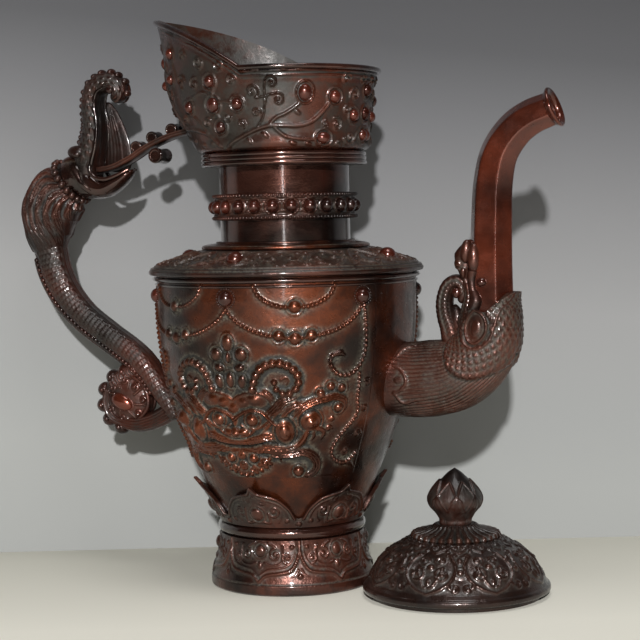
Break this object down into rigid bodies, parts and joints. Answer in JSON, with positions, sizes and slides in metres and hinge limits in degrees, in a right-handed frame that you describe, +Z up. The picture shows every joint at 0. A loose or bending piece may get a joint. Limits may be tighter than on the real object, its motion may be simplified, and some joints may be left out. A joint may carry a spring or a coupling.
{
  "type": "copper wine vessel",
  "caption": "Raised copper wine vessel with flaring pointed cup, makara spout, dragon handle, relief ornament and a loose domed lid.",
  "frame": {"origin": "centre of the underside of the foot, on the vessel's axis", "axes": "+Z up along the vessel's axis, +X towards the spout, -X towards the handle, -Y towards the front mask"},
  "size_m": [0.2973, 0.137, 0.2836],
  "materials": {
    "copper": "aged copper, polished brown with dark recesses",
    "dark_copper": "dark patinated copper with grey-olive grime in the relief",
    "red_copper": "rubbed reddish copper"
  },
  "bodies": {
    "vessel": {"base_plate": "dark_copper", "bowl": "copper", "bowl_wire_lower": "copper", "bowl_wire_upper": "copper", "calyx": "copper", "cup_ring": "copper", "foot_ring": "copper", "handle_body": "dark_copper", "handle_collar": "copper", "handle_head": "copper", "handle_mane": "dark_copper", "handle_ridge": "dark_copper", "handle_tongue": "copper", "handle_trunk": "dark_copper", "mask_front": "dark_copper", "mask_rear": "dark_copper", "mouth_cup": "copper", "neck_band": "copper", "neck_collar": "copper", "neck_tube": "red_copper", "pearl_boss_1": "red_copper", "pearl_boss_2": "red_copper", "pearl_boss_3": "red_copper", "pearl_boss_4": "red_copper", "pearl_boss_5": "red_copper", "pearl_boss_6": "red_copper", "rim_wire": "red_copper", "shoulder_boss_1": "red_copper", "shoulder_boss_2": "red_copper", "shoulder_boss_3": "red_copper", "shoulder_boss_4": "red_copper", "shoulder_plate": "copper", "spout_crest": "dark_copper", "spout_head": "dark_copper", "spout_lip": "red_copper", "spout_root": "copper", "spout_trunk": "dark_copper", "spout_tube": "red_copper", "tail_boss_front": "red_copper", "tail_boss_rear": "red_copper", "tail_curl": "dark_copper", "tongue_knob_1": "copper", "tongue_knob_2": "copper", "tongue_knob_3": "copper", "tongue_roll": "copper", "waist_ring": "red_copper"},
    "lid": {"lid_dome": "dark_copper", "lid_spigot": "dark_copper", "knob_collar": "dark_copper", "lid_knob": "copper"}
  },
  "joints": [
    {"name": "lid_lift", "type": "slide", "parent": "vessel", "child": "lid", "axis": [0, -0.8192, 0.5736], "range_m": [0, 0.14]}
  ]
}
